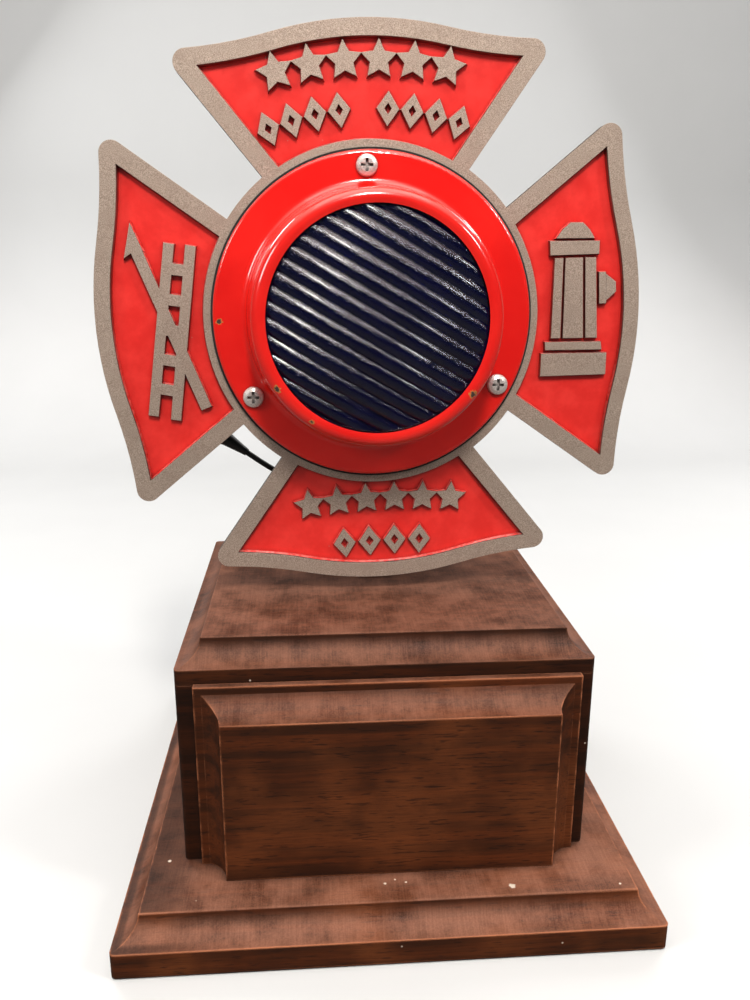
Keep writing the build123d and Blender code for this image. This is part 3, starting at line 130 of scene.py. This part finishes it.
class Shader:
    """Builds one node material. Inputs may be plain values or the sockets of earlier nodes.

    Places and sizes inside a material are in millimetres.
    """

    def __init__(self, name):
        self.material = bpy.data.materials.new(name)
        self.material.use_nodes = True
        self.tree = self.material.node_tree
        self.tree.nodes.clear()
        self.out = self.tree.nodes.new("ShaderNodeOutputMaterial")
        place = self.node("ShaderNodeTexCoord").outputs["Object"]
        self.place = self.vector("MULTIPLY", place, (MM_PER_METRE,) * 3)
        self.normal = self.node("ShaderNodeNewGeometry").outputs["Normal"]

    def node(self, kind, **settings):
        made = self.tree.nodes.new(kind)
        for key, value in settings.items():
            setattr(made, key, value)
        return made

    def plug(self, socket, value):
        if isinstance(value, bpy.types.NodeSocket):
            self.tree.links.new(value, socket)
        elif socket.type == "RGBA" and len(value) == 3:
            socket.default_value = (*value, 1.0)
        else:
            socket.default_value = value

    def math(self, operation, first, second=0.0):
        made = self.node("ShaderNodeMath", operation=operation)
        self.plug(made.inputs[0], first)
        self.plug(made.inputs[1], second)
        return made.outputs[0]

    def add(self, first, second):
        return self.math("ADD", first, second)

    def times(self, first, second):
        return self.math("MULTIPLY", first, second)

    def most(self, first, second):
        return self.math("MAXIMUM", first, second)

    def flip(self, value):
        return self.math("SUBTRACT", 1.0, value)

    def vector(self, operation, first, second):
        made = self.node("ShaderNodeVectorMath", operation=operation)
        self.plug(made.inputs[0], first)
        self.plug(made.inputs[1], second)
        return made.outputs["Value" if operation in ("DOT_PRODUCT", "DISTANCE") else "Vector"]

    def axis(self, vector, index):
        made = self.node("ShaderNodeSeparateXYZ")
        self.plug(made.inputs[0], vector)
        return made.outputs[index]

    def stretched(self, x, y, z, shift=0.0):
        """Object place in millimetres, scaled by axis and shifted."""
        scaled = self.vector("MULTIPLY", self.place, (x, y, z))
        return self.vector("ADD", scaled, (shift, shift * 0.7, -shift * 0.4))

    def noise(self, vector, scale, detail=3.0, rough=0.5, distortion=0.0):
        made = self.node("ShaderNodeTexNoise")
        self.plug(made.inputs["Vector"], vector)
        made.inputs["Scale"].default_value = scale
        made.inputs["Detail"].default_value = detail
        made.inputs["Roughness"].default_value = rough
        made.inputs["Distortion"].default_value = distortion
        return made.outputs[0]

    def cells(self, vector, scale, feature="F1"):
        made = self.node("ShaderNodeTexVoronoi", feature=feature)
        self.plug(made.inputs["Vector"], vector)
        made.inputs["Scale"].default_value = scale
        return made.outputs["Distance"]

    def step(self, value, low, high, first=0.0, second=1.0):
        """Smooth step from first to second while value goes from low to high."""
        made = self.node("ShaderNodeMapRange", interpolation_type="SMOOTHSTEP")
        self.plug(made.inputs["Value"], value)
        made.inputs["From Min"].default_value = low
        made.inputs["From Max"].default_value = high
        made.inputs["To Min"].default_value = first
        made.inputs["To Max"].default_value = second
        return made.outputs[0]

    def mix(self, share, first, second):
        made = self.node("ShaderNodeMix", data_type="RGBA")
        self.plug(made.inputs[0], share)
        self.plug(made.inputs[6], first)
        self.plug(made.inputs[7], second)
        return made.outputs[2]

    def tint(self, colour, factor):
        """Colour multiplied by a grey factor."""
        made = self.node("ShaderNodeMix", data_type="RGBA", blend_type="MULTIPLY")
        made.inputs[0].default_value = 1.0
        self.plug(made.inputs[6], colour)
        self.plug(made.inputs[7], factor)
        return made.outputs[2]

    def bump(self, height, strength, depth_mm, normal=None):
        made = self.node("ShaderNodeBump")
        made.inputs["Strength"].default_value = strength
        made.inputs["Distance"].default_value = depth_mm * MM
        self.plug(made.inputs["Height"], height)
        if normal is not None:
            self.plug(made.inputs["Normal"], normal)
        return made.outputs[0]

    def rounded(self, radius_mm, samples=4):
        """Normal with its edges softened over a radius."""
        made = self.node("ShaderNodeBevel", samples=samples)
        made.inputs["Radius"].default_value = radius_mm * MM
        return made.outputs[0]

    def edges(self, radius_mm, low=0.01, high=0.2, samples=4):
        """1 along sharp edges, 0 on open faces."""
        dot = self.vector("DOT_PRODUCT", self.rounded(radius_mm, samples), self.normal)
        return self.step(self.flip(dot), low, high)

    def crevice(self, distance_mm, low=0.3, high=0.9, samples=6):
        """1 deep in corners, 0 in the open."""
        made = self.node("ShaderNodeAmbientOcclusion", samples=samples)
        made.inputs["Distance"].default_value = distance_mm * MM
        return self.step(made.outputs["AO"], low, high, 1.0, 0.0)

    def spots(self, places, seed=0.0):
        """1 inside small ragged spots, each given as its centre and size in millimetres."""
        shape = self.noise(self.stretched(1, 1, 1, seed), 0.9, 3.0)
        ragged = self.times(self.add(shape, -0.5), 1.6)
        found = 0.0
        for centre, size in places:
            away = self.vector("DISTANCE", self.place, tuple(centre))
            away = self.add(away, self.times(ragged, size))
            found = self.most(found, self.step(away, size * 0.75, size, 1.0, 0.0))
        return found

    def finish(self, base, rough, normal=None, **extra):
        """The finished material. Extra inputs are named as on the node, with _ for each space."""
        made = self.node("ShaderNodeBsdfPrincipled")
        self.plug(made.inputs["Base Color"], base)
        self.plug(made.inputs["Roughness"], rough)
        if normal is not None:
            self.plug(made.inputs["Normal"], normal)
        for key, value in extra.items():
            self.plug(made.inputs[key.replace("_", " ")], value)
        self.tree.links.new(made.outputs[0], self.out.inputs[0])
        return self.material


# Materials


def stained_wood(name, along, seed, tone=1.0, dust_and_sheen=0.3, wear=0.6, warm=0.5, left=1.0, specks=()):
    """Dark stained hardwood: fine figure, short pores, dust with a painted sheen on ledges,
    painted shade in corners, and worn edges.

    along is the grain's axis. left is the brightness of level faces at the far left.
    """
    s = Shader(name)
    dark, middle, light = (0.036, 0.0105, 0.0038), (0.098, 0.0225, 0.0058), (0.185, 0.050, 0.014)
    pore, painted_crevice_shade = (0.010, 0.0045, 0.003), (0.008, 0.005, 0.004)
    dust_and_sheen_colour, rubbed, plaster = (0.48, 0.208, 0.128), (0.68, 0.240, 0.110), (0.75, 0.62, 0.50)

    slow = [1.0, 1.0, 1.0]
    slow[along] = 0.05
    streaks = s.stretched(*slow, shift=seed)
    figure = s.noise(streaks, 0.16, 4.0, 0.6, 0.4)
    fibre = s.noise(streaks, 1.3, 5.0, 0.7)
    short = [1.0, 1.0, 1.0]
    short[along] = 0.12
    pores = s.step(s.noise(s.stretched(*short, shift=seed + 9), 1.0, 2.0), 0.57, 0.70)
    cloud = s.noise(s.stretched(1, 1, 1, seed + 21), 0.017, 3.0)
    mottle = s.noise(s.place, 0.06, 4.0, 0.6)

    wood = s.mix(s.step(figure, 0.36, 0.66), dark, middle)
    wood = s.mix(s.times(s.step(cloud, 0.44, 0.68), warm), wood, light)
    wood = s.mix(s.times(s.step(fibre, 0.40, 0.70), 0.42), wood, dark)
    wood = s.mix(s.times(pores, 0.60), wood, pore)
    wood = s.mix(s.times(s.step(mottle, 0.50, 0.70), 0.35), wood, dark)
    wood = s.tint(wood, (tone, tone, tone))

    # Dust lies on faces that look upwards, in fine lines across the moulding; its pale pink also
    # serves as a painted sheen on those faces.
    up = s.step(s.axis(s.normal, 2), 0.04, 0.75)
    side = s.math("ABSOLUTE", s.axis(s.normal, 0))
    lines_front = s.noise(s.stretched(1.3, 0.06, 0.06, seed), 1.0, 3.0, 0.6)
    lines_side = s.noise(s.stretched(0.06, 1.3, 0.06, seed), 1.0, 3.0, 0.6)
    lines = s.mix(s.step(side, 0.3, 0.5), lines_front, lines_side)
    patchy = s.step(s.noise(s.place, 0.045, 5.0, 0.65), 0.30, 0.66)
    powder = s.step(s.noise(s.place, 1.4, 3.0, 0.7), 0.35, 0.68)
    fine = s.add(s.times(powder, 0.22), s.times(s.step(lines, 0.38, 0.66), 0.16))
    dust_and_sheen_mask = s.times(up, s.add(s.times(patchy, 0.62), fine))
    wood = s.mix(s.times(dust_and_sheen_mask, dust_and_sheen), wood, dust_and_sheen_colour)
    across = s.step(s.axis(s.place, 0), *SHADED_LEDGE_MM, left, 1.0)
    wood = s.tint(wood, s.mix(s.step(s.axis(s.normal, 2), 0.9, 0.98), PLAIN, across))

    # Edges are rubbed through to lighter wood, unevenly.
    rub = s.step(s.noise(s.stretched(*slow, shift=seed + 2), 0.13, 4.0, 0.6), 0.40, 0.60)
    worn = s.times(s.edges(1.5, 0.012, 0.12), s.add(s.times(rub, 0.85), 0.15))
    wood = s.mix(s.times(worn, wear), wood, rubbed)
    # Painted shade: corners and creases are darkened to near black.
    corner_shade_mask = s.crevice(7.0, 0.25, 0.85)
    wood = s.mix(s.times(corner_shade_mask, 0.85), wood, painted_crevice_shade)

    # A few pale flecks stand anywhere, and the given specks in their own places.
    flecks = s.step(s.cells(s.place, 0.055), 0.016, 0.032, 1.0, 0.0)
    sparse = s.step(s.noise(s.stretched(1, 1, 1, seed + 3), 0.03, 1.0), 0.52, 0.58)
    pale = s.most(s.times(flecks, s.times(sparse, 0.8)), s.spots(specks, seed))
    wood = s.mix(pale, wood, plaster)

    rough = s.add(0.46, s.add(s.times(dust_and_sheen_mask, 0.22), s.times(s.step(fibre, 0.3, 0.7), 0.10)))
    height = s.add(s.times(fibre, 0.35), s.times(pores, -0.5))
    normal = s.bump(height, 0.30, 0.22, s.rounded(0.6))
    return s.finish(wood, rough, normal, Specular_IOR_Level=0.22)


def bare_softwood(name, along):
    """Pale unfinished wood for the parts inside the pedestal."""
    s = Shader(name)
    slow = [1.0, 1.0, 1.0]
    slow[along] = 0.05
    rings = s.noise(s.stretched(*slow), 0.22, 3.0, 0.5, 0.4)
    wood = s.mix(s.step(rings, 0.4, 0.62), (0.52, 0.34, 0.18), (0.34, 0.19, 0.09))
    return s.finish(wood, 0.7, s.bump(rings, 0.3, 0.2))


def cast_cross():
    """Sanded aluminium on raised faces, red enamel in the sunk fields, dull casting elsewhere,
    with painted shade on the sides and in the fields.
    """
    s = Shader("cast_cross")
    from_centre = s.vector("SUBTRACT", s.place, tuple(HEAD_CENTRE * MM_PER_METRE))
    behind_middle = s.vector("DOT_PRODUCT", from_centre, tuple(HEAD_BACK))
    depth = s.add(behind_middle, CROSS_THICKNESS_MM / 2)
    facing = s.vector("DOT_PRODUCT", s.normal, tuple(-HEAD_BACK))
    grain = s.noise(s.place, 2.6, 3.0, 0.7)
    blotch = s.noise(s.place, 0.10, 4.0, 0.6)
    pits = s.step(s.cells(s.place, 0.8), 0.10, 0.24, 1.0, 0.0)
    few = s.step(s.noise(s.place, 0.25, 1.0), 0.55, 0.65)

    # Raised faces, and the casting's other sides: dull as-cast metal, darkened further as painted
    # shade on the side walls
    bare = s.mix(s.step(grain, 0.34, 0.66), (0.27, 0.205, 0.160), (0.60, 0.480, 0.395))
    bare = s.mix(s.times(s.step(blotch, 0.42, 0.7), 0.30), bare, (0.34, 0.25, 0.195))
    bare = s.mix(s.times(s.times(pits, few), 0.6), bare, (0.09, 0.06, 0.045))
    edge_shine = s.times(s.edges(0.5, 0.02, 0.25), s.step(blotch, 0.35, 0.6))
    bare = s.mix(s.times(edge_shine, 0.4), bare, (0.80, 0.66, 0.55))
    cast_and_side_shade = s.mix(s.step(blotch, 0.35, 0.7), (0.085, 0.068, 0.056), (0.19, 0.155, 0.130))
    front = s.step(facing, 0.80, 0.95)
    metal = s.mix(front, cast_and_side_shade, bare)

    # Red enamel in the fields. Painted shade darkens the fields' corners and the walls that face
    # down; where a wall faces up the enamel is lighter, partly thin worn enamel and partly a
    # painted highlight
    wander = s.times(s.add(s.noise(s.place, 0.7, 2.0), -0.5), 0.9)
    sunk = s.step(s.add(depth, wander), 0.75, 1.25)
    shallow = s.step(depth, RECESS_MM + 0.35, RECESS_MM + 0.6, 1.0, 0.0)
    field = s.times(s.times(sunk, shallow), s.step(facing, 0.06, 0.18))
    floor = s.step(depth, RECESS_MM - 0.5, RECESS_MM - 0.15)
    red = s.mix(s.step(blotch, 0.3, 0.75), (0.82, 0.025, 0.019), (0.95, 0.044, 0.034))
    # Painted shade in the fields' corners.
    red = s.mix(s.times(s.crevice(2.4, 0.35, 0.95), 0.75), red, (0.20, 0.008, 0.006))
    wall = s.flip(floor)
    upward = s.step(s.axis(s.normal, 2), -0.05, 0.35)
    # Painted shade on walls that face down.
    red = s.mix(s.times(wall, s.times(s.flip(upward), 0.85)), red, (0.045, 0.012, 0.009))
    # Painted highlight on walls that face up, broken up unevenly like thin worn enamel.
    thin_and_lit_enamel = s.times(s.times(wall, upward), s.step(s.noise(s.place, 0.4, 3.0), 0.40, 0.58))
    red = s.mix(s.times(thin_and_lit_enamel, 0.75), red, (0.80, 0.22, 0.18))
    nicks = s.step(s.noise(s.stretched(1, 1, 1, 31), 0.32, 4.0, 0.65), 0.735, 0.76)
    field = s.times(field, s.flip(s.times(nicks, 0.8)))

    colour = s.mix(field, metal, red)
    rough = s.mix(field, s.step(grain, 0.3, 0.7, 0.66, 0.42), (0.30, 0.30, 0.30))
    metallic = s.times(s.flip(field), 0.35)
    height = s.times(s.add(grain, s.times(pits, -0.6)), s.step(field, 0.0, 1.0, 1.0, 0.18))
    waves = s.times(s.noise(s.place, 0.12, 2.0), s.times(field, 3.0))
    normal = s.bump(s.add(height, waves), 0.35, 0.12, s.rounded(0.3))
    return s.finish(colour, rough, normal, Metallic=metallic, Coat_Weight=s.times(field, 0.35))


def on_bezel(angle, radius_mm, depth_mm):
    """Place on the bezel in mm: angle in degrees from +X, depth from the cross's middle."""
    turn = math.radians(angle)
    side = Vector((math.cos(turn), 0, 0)) + HEAD_UP * math.sin(turn)
    return HEAD_CENTRE / MM + side * radius_mm + HEAD_BACK * depth_mm


def red_enamel():
    """Glossy sprayed enamel with slight orange peel and a few chips."""
    s = Shader("red_enamel")
    cloud = s.noise(s.place, 0.03, 3.0)
    red = s.mix(s.step(cloud, 0.3, 0.7), (0.80, 0.010, 0.007), (0.90, 0.018, 0.012))
    chips = [(on_bezel(*place), size) for place, size in BEZEL_CHIPS]
    chip = s.spots(chips)
    ring = s.spots([(centre, size * CHIP_RIM) for centre, size in chips])
    red = s.mix(ring, red, (0.62, 0.24, 0.06))
    red = s.mix(chip, red, (0.055, 0.030, 0.024))
    rub = s.times(s.edges(0.7, 0.05, 0.4), s.step(s.noise(s.place, 0.2, 4.0), 0.56, 0.66))
    red = s.mix(s.times(rub, 0.7), red, (0.20, 0.06, 0.03))
    # Painted shade darkens the bezel's creases and where it meets the cross.
    bezel_crease_shade = s.crevice(3.0, 0.35, 0.9)
    red = s.mix(s.times(bezel_crease_shade, 0.85), red, (0.030, 0.006, 0.004))
    peel = s.noise(s.place, 0.55, 2.0)
    height = s.add(s.times(peel, 0.5), s.times(chip, -1.6))
    normal = s.bump(height, 0.16, 0.14)
    rough = s.add(0.20, s.times(chip, 0.4))
    return s.finish(red, rough, normal, Coat_Weight=0.9, Coat_Roughness=0.06)


def cobalt_glass():
    """Deep cobalt glass, nearly black, with a rippled surface that breaks up the glints."""
    s = Shader("cobalt_glass")
    ripple = s.noise(s.place, 0.33, 2.0, 0.5)
    fine = s.noise(s.place, 1.5, 2.0, 0.6)
    normal = s.bump(s.add(ripple, fine), 0.75, 0.30)
    smear = s.step(s.noise(s.place, 0.09, 3.0), 0.4, 0.7)
    rough = s.add(0.07, s.times(smear, 0.08))
    tint = s.mix(smear, (0.0025, 0.0035, 0.050), (0.004, 0.005, 0.070))
    return s.finish(
        tint, rough, normal,
        Transmission_Weight=0.7, IOR=1.6, Coat_Weight=0.25, Coat_Roughness=0.08,
    )


def clear_glass():
    """Blown glass of the bulb."""
    s = Shader("clear_glass")
    normal = s.bump(s.noise(s.place, 0.2), 0.05, 0.1)
    return s.finish((0.95, 0.96, 0.96), 0.02, normal, Transmission_Weight=1.0)


def plated_steel(name, colour=(0.66, 0.64, 0.61), rough=0.26, metal=1.0):
    """Bright plating, a little scuffed, with painted shade in its recesses."""
    s = Shader(name)
    scuff = s.noise(s.place, 1.8, 4.0, 0.7)
    # Painted shade: recesses darkened to near black and made less metallic.
    painted_crevice_shade = s.crevice(2.0, 0.20, 0.70)
    base = s.mix(s.times(painted_crevice_shade, 0.97), colour, (0.012, 0.008, 0.007))
    worn = s.step(scuff, 0.35, 0.7, rough * 0.7, rough * 1.6)
    normal = s.bump(scuff, 0.18, 0.08, s.rounded(0.2))
    return s.finish(base, worn, normal, Metallic=s.times(s.flip(painted_crevice_shade), metal))


def spun_metal(name, colour, rough):
    """Metal turned on a lathe, with faint rings round the lens axis."""
    s = Shader(name)
    rings = s.noise(s.stretched(0.02, 3.0, 0.02), 1.0, 3.0)
    base = s.mix(s.step(rings, 0.3, 0.7), colour, tuple(c * 0.86 for c in colour))
    worn = s.step(rings, 0.3, 0.7, rough, rough * 1.4)
    return s.finish(base, worn, s.bump(rings, 0.12, 0.05), Metallic=1.0)


def black_enamel():
    """Satin black paint over steel, with grey rubbed edges and a film of dust."""
    s = Shader("black_enamel")
    peel = s.noise(s.place, 0.8, 3.0)
    rub = s.times(s.edges(0.6, 0.03, 0.3), s.step(s.noise(s.place, 0.25, 4.0), 0.48, 0.62))
    up = s.step(s.axis(s.normal, 2), 0.2, 0.9)
    film = s.times(up, s.step(s.noise(s.place, 0.08, 4.0), 0.3, 0.7))
    base = s.mix(s.times(film, 0.22), (0.014, 0.014, 0.015), (0.16, 0.14, 0.125))
    base = s.mix(s.times(rub, 0.8), base, (0.26, 0.25, 0.24))
    rough = s.add(0.34, s.times(film, 0.3))
    return s.finish(base, rough, s.bump(peel, 0.22, 0.12), Metallic=s.times(rub, 0.8))


def moulded(name, colour, rough, grain=0.9):
    """Moulded plastic or rubber with a fine even texture."""
    s = Shader(name)
    fine = s.noise(s.place, grain, 3.0, 0.6)
    cloud = s.noise(s.place, 0.09, 3.0)
    lighter = tuple(c * 1.7 + 0.006 for c in colour)
    base = s.mix(s.times(s.step(cloud, 0.35, 0.75), 0.6), colour, lighter)
    return s.finish(base, s.step(fine, 0.3, 0.7, rough, rough * 1.25), s.bump(fine, 0.2, 0.1))


def green_felt():
    """Felt under the slab."""
    s = Shader("green_felt")
    fibre = s.noise(s.place, 1.2, 5.0, 0.8, 1.5)
    base = s.mix(s.step(fibre, 0.3, 0.7), (0.010, 0.045, 0.022), (0.035, 0.12, 0.062))
    return s.finish(base, 0.95, s.bump(fibre, 0.8, 0.5), Sheen_Weight=0.4)


def give(material, *nodes):
    """Puts one material on CAD nodes."""
    for name in nodes:
        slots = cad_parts[name].data.materials
        slots.clear()
        slots.append(material)


give(
    stained_wood("wood_slab", 0, 3.0, 1.0, dust_and_sheen=0.60, wear=1.0, warm=0.75, left=0.38,
                 specks=SLAB_SPECKS),
    "base_slab",
)
give(stained_wood("wood_top", 0, 17.0, 0.55, dust_and_sheen=0.50, wear=0.25, warm=0.3), "top_board")
give(
    stained_wood("wood_front", 0, 29.0, 0.42, dust_and_sheen=0.2, wear=0.15, warm=0.1),
    "front_board", "back_board",
)
give(
    stained_wood("wood_sides", 1, 41.0, 0.42, dust_and_sheen=0.2, wear=0.15, warm=0.1),
    "left_board", "right_board",
)
give(stained_wood("wood_plaque", 0, 55.0, 0.98, dust_and_sheen=0.50, wear=0.8, warm=0.6), "plaque_panel")
give(bare_softwood("bare_blocks", 2), "corner_blocks")
give(bare_softwood("bare_hatch", 0), "battery_hatch")
give(green_felt(), "felt_pad")
give(cast_cross(), "emblem_cross")
give(red_enamel(), "lens_bezel")
give(cobalt_glass(), "lens")
give(clear_glass(), "bulb_glass")
give(plated_steel("nickel_plate", (0.74, 0.69, 0.65), 0.34, 0.5), "bezel_screws")
give(
    plated_steel("zinc_plate"),
    "bezel_nuts", "lug_screws", "lug_nuts", "tilt_bolt", "tilt_washers", "tilt_wing_nut",
    "foot_screws", "stem_washer", "stem_nut", "snap_ring", "contact_spring", "battery_springs",
    "hatch_screws", "slab_screws", "plaque_screws", "switch_nut", "switch_lever",
)
give(spun_metal("spun_aluminium", (0.82, 0.82, 0.82), 0.16), "reflector")
give(
    spun_metal("turned_brass", (0.72, 0.52, 0.22), 0.28),
    "bulb_socket", "bulb_base", "plug_barrel",
)
give(spun_metal("grey_wire", (0.32, 0.32, 0.34), 0.3), "bulb_filament")
give(black_enamel(), "lamp_housing", "post_foot", "stem_post", "tilt_lug")
give(moulded("brown_insulator", (0.05, 0.024, 0.012), 0.42), "contact_disc", "switch_body")
give(
    moulded("black_rubber", (0.010, 0.010, 0.010), 0.7),
    "bezel_gasket", "lens_gasket", "housing_grommet", "stem_grommet",
)
black_cord = moulded("black_cord", (0.010, 0.010, 0.011), 0.42, 0.6)
give(black_cord, "pigtail_cable", "switch_lead", "battery_lead")
give(
    moulded("black_plastic", (0.012, 0.012, 0.013), 0.34),
    "inline_jack", "inline_plug", "inner_connector", "battery_tray",
)
give(moulded("cell_jacket", (0.03, 0.03, 0.034), 0.25), "battery_cells")


# The one piece whose mesh Blender cuts finer


def bending_cable(material):
    """The supply cable, copied and cut into short rings."""
    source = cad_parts["supply_cable"]
    mesh = source.data.copy()
    cable = bpy.data.objects.new("flexible_supply_cable", mesh)
    bpy.context.scene.collection.objects.link(cable)
    shaped = bmesh.new()
    shaped.from_mesh(mesh)
    bmesh.ops.remove_doubles(shaped, verts=shaped.verts, dist=WELD_DISTANCE)
    for _ in range(CABLE_ROUNDS):
        long_edges = [edge for edge in shaped.edges if edge.calc_length() > CABLE_EDGE]
        if not long_edges:
            break
        bmesh.ops.subdivide_edges(shaped, edges=long_edges, cuts=1)
    bmesh.ops.triangulate(shaped, faces=shaped.faces)
    shaped.to_mesh(mesh)
    shaped.free()
    mesh.materials.clear()
    mesh.materials.append(material)
    mesh.shade_smooth()

    # It leaves the post at the left face of the grommet, and ends at the foot of the plug's boot.
    start = middle_of("stem_grommet")
    start.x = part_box("stem_grommet")[0].x
    end = middle_of("inline_plug")
    plug_low, plug_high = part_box("inline_plug")
    end.x, end.z = plug_high.x, plug_low.z
    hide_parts("supply_cable")
    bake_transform(cable)


bending_cable(black_cord)


# Stage, light and camera


def pale_floor():
    """Floor and wall in one sheet: pale to the camera and dark to every other ray, a painted
    darkness in its reflections and in the light it bounces.
    """
    s = Shader("pale_floor")
    base = s.mix(s.noise(s.place, 0.01), (0.74, 0.745, 0.74), (0.78, 0.785, 0.78))
    seen = s.node("ShaderNodeLightPath").outputs["Is Camera Ray"]
    material = s.finish(s.mix(seen, FLOOR_TO_OTHER_RAYS, base), 0.55)

    profile = [(FLOOR_FRONT, 0.0)]
    for i in range(BEND_STEPS + 1):
        angle = math.radians(90 * i / BEND_STEPS)
        along = WALL_DISTANCE - BEND_RADIUS + BEND_RADIUS * math.sin(angle)
        profile.append((along, BEND_RADIUS - BEND_RADIUS * math.cos(angle)))
    profile.append((WALL_DISTANCE, WALL_HEIGHT))

    mesh = bpy.data.meshes.new("pale_floor")
    shaped = bmesh.new()
    sides = (-FLOOR_HALF_WIDTH, FLOOR_HALF_WIDTH)
    rows = [[shaped.verts.new((x, y, z)) for x in sides] for y, z in profile]
    for low, high in zip(rows, rows[1:]):
        shaped.faces.new((low[0], low[1], high[1], high[0]))
    shaped.to_mesh(mesh)
    shaped.free()
    mesh.materials.append(material)
    mesh.shade_smooth()
    floor = bpy.data.objects.new("pale_floor", mesh)
    bpy.context.scene.collection.objects.link(floor)


def studio_world():
    """The camera sees a plain backdrop, glossy rays a dark room with a warm ceiling."""
    world = bpy.data.worlds.new("studio")
    bpy.context.scene.world = world
    world.use_nodes = True
    nodes, links = world.node_tree.nodes, world.node_tree.links
    nodes.clear()
    path = nodes.new("ShaderNodeLightPath")

    def background(colour, strength):
        made = nodes.new("ShaderNodeBackground")
        made.inputs["Color"].default_value = (*colour, 1.0)
        made.inputs["Strength"].default_value = strength
        return made

    def choose(ray, others, chosen):
        """One shader for this kind of ray, another for all others."""
        made = nodes.new("ShaderNodeMixShader")
        links.new(path.outputs[ray], made.inputs[0])
        links.new(others.outputs[0], made.inputs[1])
        links.new(chosen.outputs[0], made.inputs[2])
        return made

    # The ceiling's colour comes in with height.
    way = nodes.new("ShaderNodeTexCoord")
    split = nodes.new("ShaderNodeSeparateXYZ")
    height = nodes.new("ShaderNodeMapRange")
    height.inputs["From Min"].default_value = -1.0
    ramp = nodes.new("ShaderNodeValToRGB")
    stops = zip(ramp.color_ramp.elements, CEILING_SPAN, (DARK_ROOM, CEILING_COLOUR))
    for stop, position, colour in stops:
        stop.position = position
        stop.color = (*colour, 1.0)
    room = background(PLAIN, CEILING_LIGHT)
    links.new(way.outputs["Generated"], split.inputs[0])
    links.new(split.outputs["Z"], height.inputs["Value"])
    links.new(height.outputs[0], ramp.inputs[0])
    links.new(ramp.outputs["Color"], room.inputs["Color"])

    unseen = choose("Is Glossy Ray", background(ROOM_COLOUR, ROOM_LIGHT), room)
    shown = choose("Is Camera Ray", unseen, background(BACKDROP, 1.0))
    out = nodes.new("ShaderNodeOutputWorld")
    links.new(shown.outputs[0], out.inputs["Surface"])


def soft_lights():
    """Rectangular lamps, all turned towards the middle of the object."""
    for name, (place, size, power, colour) in LAMPS.items():
        lamp = bpy.data.lights.new(name, "AREA")
        lamp.shape = "RECTANGLE"
        lamp.size, lamp.size_y = size
        lamp.energy = power
        lamp.color = colour
        light = bpy.data.objects.new(name, lamp)
        light.location = place
        light.rotation_mode = "QUATERNION"
        light.rotation_quaternion = (Vector(AIM) - Vector(place)).to_track_quat("-Z", "Y")
        bpy.context.scene.collection.objects.link(light)


def photo_camera():
    """Camera at the photograph's place, turned by yaw, pitch and roll from looking along +Y."""
    lens = bpy.data.cameras.new("photo_camera")
    lens.sensor_width = SENSOR_MM
    lens.lens = FOCAL_SHARE * SENSOR_MM
    lens.clip_start = NEAREST_SEEN
    camera = bpy.data.objects.new("photo_camera", lens)
    turn = (
        Matrix.Rotation(CAMERA_YAW, 3, "Z")
        @ Matrix.Rotation(CAMERA_PITCH, 3, "X")
        @ Matrix.Rotation(CAMERA_ROLL, 3, "Y")
    )
    upright = Matrix.Rotation(math.radians(90), 3, "X")
    camera.matrix_world = Matrix.Translation(CAMERA_PLACE) @ (turn @ upright).to_4x4()
    bpy.context.scene.collection.objects.link(camera)
    bpy.context.scene.camera = camera


pale_floor()
studio_world()
soft_lights()
photo_camera()
bpy.context.scene.view_settings.view_transform = "Standard"
